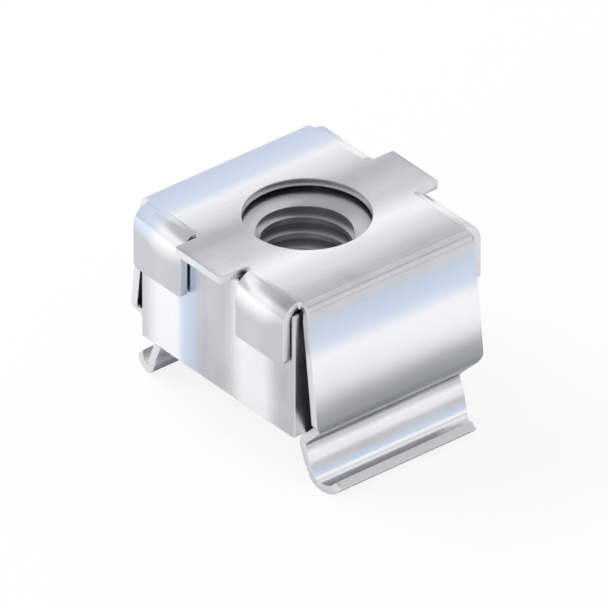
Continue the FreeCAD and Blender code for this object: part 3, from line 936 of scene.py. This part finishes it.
@dataclass
class SquareNut:
    """The loose block with its tapped hole. In mm and degrees."""

    width: float
    length: float
    floor: float
    top: float
    edge: float = 0.15
    edge_steps: int = 3
    sharp_from: float = 35.0
    core_radius: float = 2.02
    root_radius: float = 2.413
    pitch: float = 0.794
    root_flat: float = 0.1
    flank_angle: float = 30.0
    first_turn: float = 1.5
    spare_turns: int = 2
    mouth_radius: float = 2.6
    mouth_depth: float = 0.33
    steps_in_turn: int = 72
    past: float = 0.4
    trim_within: float = 0.00001

    def build(self, effects: Effects) -> Piece:
        """Makes the block, taps it and countersinks both ends.

        Args:
            effects: the shared node groups.

        Returns:
            The finished nut.
        """
        finishes = [finish.build(effects) for finish in NUT_FINISHES]
        nut = finished_piece("tapped_block", self._block(), finishes)
        cutters = [
            finished_piece("tap", self._tap(), finishes),
            finished_piece("upper_mouth", self._mouth(self.top, 1.0), finishes),
            finished_piece("lower_mouth", self._mouth(self.floor, -1.0), finishes),
        ]
        for cutter in cutters:
            cut = nut.modifiers.new(cutter.name, "BOOLEAN")
            cut.operation, cut.solver, cut.object = "DIFFERENCE", "EXACT", cutter
        graph = bpy.context.evaluated_depsgraph_get()
        cut_mesh = bpy.data.meshes.new_from_object(nut.evaluated_get(graph))
        nut.modifiers.clear()
        nut.data = cut_mesh
        for cutter in cutters:
            bpy.data.objects.remove(cutter)
        nut.data.set_sharp_from_angle(angle=math.radians(self.sharp_from))
        flatten_shading(nut)
        return nut

    def _block(self) -> Shape:
        """The block with its edges rounded, its two sawn ends marked.

        Returns:
            The shape in millimetres.
        """
        shape = bmesh.new()
        bmesh.ops.create_cube(shape, size=1.0)
        height = self.top - self.floor
        bmesh.ops.scale(shape, vec=(self.width, self.length, height), verts=shape.verts[:])
        bmesh.ops.translate(shape, vec=(0, 0, self.floor + height / 2.0), verts=shape.verts[:])
        shape.normal_update()
        for face in shape.faces:
            finish = SAWN_END if abs(face.normal.y) > 0.5 else DRAWN_BAR
            face.material_index = NUT_FINISHES.index(finish)
        bmesh.ops.bevel(
            shape, geom=shape.edges[:], offset=self.edge, affect="EDGES", segments=self.edge_steps,
            profile=0.5, material=-1,
        )
        return shape

    def _tap(self) -> Shape:
        """The space that the tap cuts: one pitch of the thread's outline, spun up along its axis.

        Returns:
            The shape in millimetres.
        """
        shape = bmesh.new()
        painted_sheen_mask = (self.root_radius - self.core_radius) * math.tan(math.radians(self.flank_angle))
        crest = self.pitch - self.root_flat - 2.0 * painted_sheen_mask
        start = self.floor - self.past - self.first_turn * self.pitch
        places = [
            (self.core_radius, start),
            (self.core_radius, start + crest),
            (self.root_radius, start + crest + painted_sheen_mask),
            (self.root_radius, start + crest + painted_sheen_mask + self.root_flat),
            (self.core_radius, start + self.pitch),
        ]
        verts = [shape.verts.new((radius, 0.0, height)) for radius, height in places]
        edges = [shape.edges.new(pair) for pair in zip(verts, verts[1:])]
        tapped = self.top - self.floor + 2.0 * self.past
        turns = math.ceil(tapped / self.pitch) + self.spare_turns
        bmesh.ops.spin(
            shape, geom=[*verts, *edges], cent=(0, 0, 0), axis=(0, 0, 1),
            dvec=(0, 0, self.pitch / self.steps_in_turn), angle=math.tau * turns,
            steps=self.steps_in_turn * turns,
        )
        bmesh.ops.remove_doubles(shape, verts=shape.verts[:], dist=MERGE)
        for height, side in ((self.floor - self.past, -1.0), (self.top + self.past, 1.0)):
            geom = [*shape.verts, *shape.edges, *shape.faces]
            bmesh.ops.bisect_plane(
                shape, geom=geom, dist=self.trim_within, plane_co=(0, 0, height),
                plane_no=(0, 0, side), clear_outer=True,
            )
            rim = [
                edge for edge in shape.edges
                if edge.is_boundary and all(abs(vert.co.z - height) < MERGE for vert in edge.verts)
            ]
            bmesh.ops.edgeloop_fill(shape, edges=rim)
        bmesh.ops.recalc_face_normals(shape, faces=shape.faces[:])
        for face in shape.faces:
            face.material_index = NUT_FINISHES.index(TAPPED_BORE)
        return shape

    def _mouth(self, face_height: float, side: float) -> Shape:
        """The cone that breaks one end of the thread.

        Args:
            face_height: the height of the block's face there.
            side: 1 for the upper face and -1 for the lower one.

        Returns:
            The shape in millimetres.
        """
        shape = bmesh.new()
        slope = (self.mouth_radius - self.core_radius) / self.mouth_depth
        outer = self.mouth_radius + slope * self.past / 2.0
        inner = self.core_radius / 2.0
        depth = (outer - inner) / slope
        bmesh.ops.create_cone(
            shape, cap_ends=True, segments=self.steps_in_turn * 2, radius1=inner, radius2=outer,
            depth=depth,
        )
        if side < 0:
            upside_down = Matrix.Rotation(math.pi, 3, "X")
            bmesh.ops.rotate(shape, matrix=upside_down, verts=shape.verts[:])
        middle = face_height + side * (self.past / 2.0 - depth / 2.0)
        bmesh.ops.translate(shape, vec=(0, 0, middle), verts=shape.verts[:])
        for face in shape.faces:
            face.material_index = NUT_FINISHES.index(TAPPED_BORE)
        return shape


@dataclass(frozen=True)
class Softbox:
    """A rectangular lamp: where it hangs, its size, its brightness and whether metal mirrors it."""

    name: str
    azimuth: float
    elevation: float
    distance: float
    width: float
    height: float
    level: float
    mirrored: bool = True

    def hang(self, target: Vector) -> None:
        """Hangs the lamp so that it faces the target.

        Args:
            target: the point that it faces, in metres.
        """
        lamp = bpy.data.lights.new(self.name, "AREA")
        lamp.shape = "RECTANGLE"
        lamp.size, lamp.size_y = self.width, self.height
        lamp.energy = self.level * math.pi * self.width * self.height
        holder = bpy.data.objects.new(self.name, lamp)
        away = direction(self.azimuth, self.elevation)
        holder.location = target + away * self.distance
        holder.rotation_euler = away.to_track_quat("Z", "Y").to_euler()
        holder.visible_camera = False
        holder.visible_glossy = self.mirrored
        bpy.context.scene.collection.objects.link(holder)


def direction(azimuth: float, elevation: float) -> Vector:
    """The way from the object toward an azimuth and elevation in degrees."""
    turn, rise = math.radians(azimuth), math.radians(elevation)
    return Vector((math.sin(turn), -math.cos(turn), math.tan(rise))) * math.cos(rise)


@dataclass
class Studio:
    """The pale floor, the lamps, the sky and the camera. In metres and degrees, the lens in mm."""

    plate_top: float
    azimuth: float = 50.85
    elevation: float = 33.3
    pixels: int = 608
    pixels_per_mm: float = 23.53
    axis_pixel: tuple[float, float] = (307.0, 213.7)
    focal_length: float = 1200.0
    clip_span: float = 10.0
    floor_size: float = 1.2
    floor_gap: float = 0.00001
    floor_tone: float = 0.93
    white_to_camera: float = 0.85
    lamp_aim: float = 0.005
    lamps: tuple[Softbox, ...] = (
        Softbox("key", 303.0, 42.0, 0.24, 0.26, 0.06, 7.4, mirrored=False),
        Softbox("overhead", 178.0, 60.0, 0.16, 0.14, 0.08, 0.35),
    )
    sky: tuple[tuple[float, Colour], ...] = (
        (0.0, (0.70, 0.71, 0.73)),
        (0.08, (0.88, 0.89, 0.91)),
        (0.20, (0.90, 0.91, 0.93)),
        (0.44, (0.96, 0.97, 0.99)),
        (0.54, (0.87, 0.88, 0.91)),
        (0.63, (0.74, 0.75, 0.78)),
        (0.72, (0.54, 0.55, 0.57)),
        (0.85, (0.48, 0.49, 0.50)),
        (1.0, (0.50, 0.51, 0.52)),
    )

    def build(self) -> None:
        """Sets floor, lamps, sky, colour handling and camera."""
        self._floor()
        for lamp in self.lamps:
            lamp.hang(Vector((0.0, 0.0, self.lamp_aim)))
        self._sky()
        self._camera()
        bpy.context.scene.view_settings.view_transform = "Standard"

    def _floor(self) -> None:
        """A pale matt floor that shows white to the camera and keeps the object's shadow."""
        shape = bmesh.new()
        bmesh.ops.create_grid(shape, x_segments=1, y_segments=1, size=self.floor_size / MM / 2.0)
        bmesh.ops.translate(shape, vec=(0, 0, -self.floor_gap / MM), verts=shape.verts[:])
        finished_piece("floor", shape, [self._floor_paint()])

    def _floor_paint(self) -> Material:
        """Matt white paint, with plain white mixed in for what the camera sees.

        Returns:
            The floor's material.
        """
        material = bpy.data.materials.new("floor_paint")
        material.use_nodes = True
        material.node_tree.nodes.clear()
        bench = Bench(material.node_tree)
        tone = self.floor_tone
        paint = bench.add("ShaderNodeBsdfDiffuse", {"Color": (tone, tone, tone, 1.0)})
        white = bench.add("ShaderNodeEmission", {})
        path = bench.add("ShaderNodeLightPath", {})
        seen = bench.math("MULTIPLY", path.outputs["Is Camera Ray"], self.white_to_camera)
        parts = {"Fac": seen, 1: paint.outputs["BSDF"], 2: white.outputs["Emission"]}
        mix = bench.add("ShaderNodeMixShader", parts)
        bench.add("ShaderNodeOutputMaterial", {"Surface": mix.outputs["Shader"]})
        return material

    def _sky(self) -> None:
        """A pale sky that is brightest a little above the horizon and grey overhead."""
        world = bpy.data.worlds.new("pale_sky")
        bpy.context.scene.world = world
        world.use_nodes = True
        bench = Bench(world.node_tree)
        background = world.node_tree.nodes["Background"]
        place = bench.add("ShaderNodeTexCoord", {}).outputs["Generated"]
        height = bench.add("ShaderNodeSeparateXYZ", {"Vector": place}).outputs["Z"]
        ramp = bench.add("ShaderNodeValToRGB", {"Fac": height})
        stops = ramp.color_ramp.elements
        lowest, *between, highest = self.sky
        for stop, (position, colour) in zip(stops, (lowest, highest)):
            stop.position, stop.color = position, (*colour, 1.0)
        for position, colour in between:
            stops.new(position).color = (*colour, 1.0)
        bench.feed(background.inputs["Color"], ramp.outputs["Color"])

    def _camera(self) -> None:
        """A view through a very long lens, with the plate's middle where the photograph has it."""
        lens = bpy.data.cameras.new("camera")
        lens.lens = self.focal_length
        distance = self.pixels / self.pixels_per_mm * MM * self.focal_length / lens.sensor_width
        lens.clip_start, lens.clip_end = distance / self.clip_span, distance * self.clip_span
        lens.dof.use_dof = False
        holder = bpy.data.objects.new("camera", lens)
        back = direction(self.azimuth, self.elevation)
        right = Vector((0, 0, 1)).cross(back).normalized()
        up = back.cross(right)
        middle, pixel = self.pixels / 2.0, MM / self.pixels_per_mm
        across = (self.axis_pixel[0] - middle) * pixel
        above = (middle - self.axis_pixel[1]) * pixel
        aim = Vector((0, 0, self.plate_top)) - right * across - up * above
        holder.location = aim + back * distance
        holder.rotation_euler = back.to_track_quat("Z", "Y").to_euler()
        bpy.context.scene.collection.objects.link(holder)
        bpy.context.scene.camera = holder


def dress(piece: Piece, node: str) -> None:
    """Puts a piece in the place of its CAD node.

    Args:
        piece: the finished piece.
        node: the CAD node that it stands for.
    """
    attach(piece, "root")
    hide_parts(node)
    piece.data.calc_loop_triangles()
    low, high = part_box(node)
    own = [piece.matrix_world @ vert.co for vert in piece.data.vertices]
    grown = max(max(low[i] - p[i], p[i] - high[i]) for p in own for i in range(3))
    count = len(piece.data.loop_triangles)
    log.info("%s: %d triangles, %.4f mm outside its node's box", piece.name, count, grown / MM)


def main() -> None:
    """Builds the studio and the two pieces, and keeps the sizes."""
    logging.basicConfig(level=logging.INFO, format="%(message)s")
    effects = Effects()
    plate_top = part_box("spring_cage")[1].z
    cage = SpringCage(plate_top=plate_top / MM)
    dress(cage.build(effects), "spring_cage")
    low, high = (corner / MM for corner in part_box("square_nut"))
    nut = SquareNut(width=high.x - low.x, length=high.y - low.y, floor=low.z, top=high.z)
    dress(nut.build(effects), "square_nut")
    Studio(plate_top=plate_top).build()


if __name__ == "__main__":
    main()
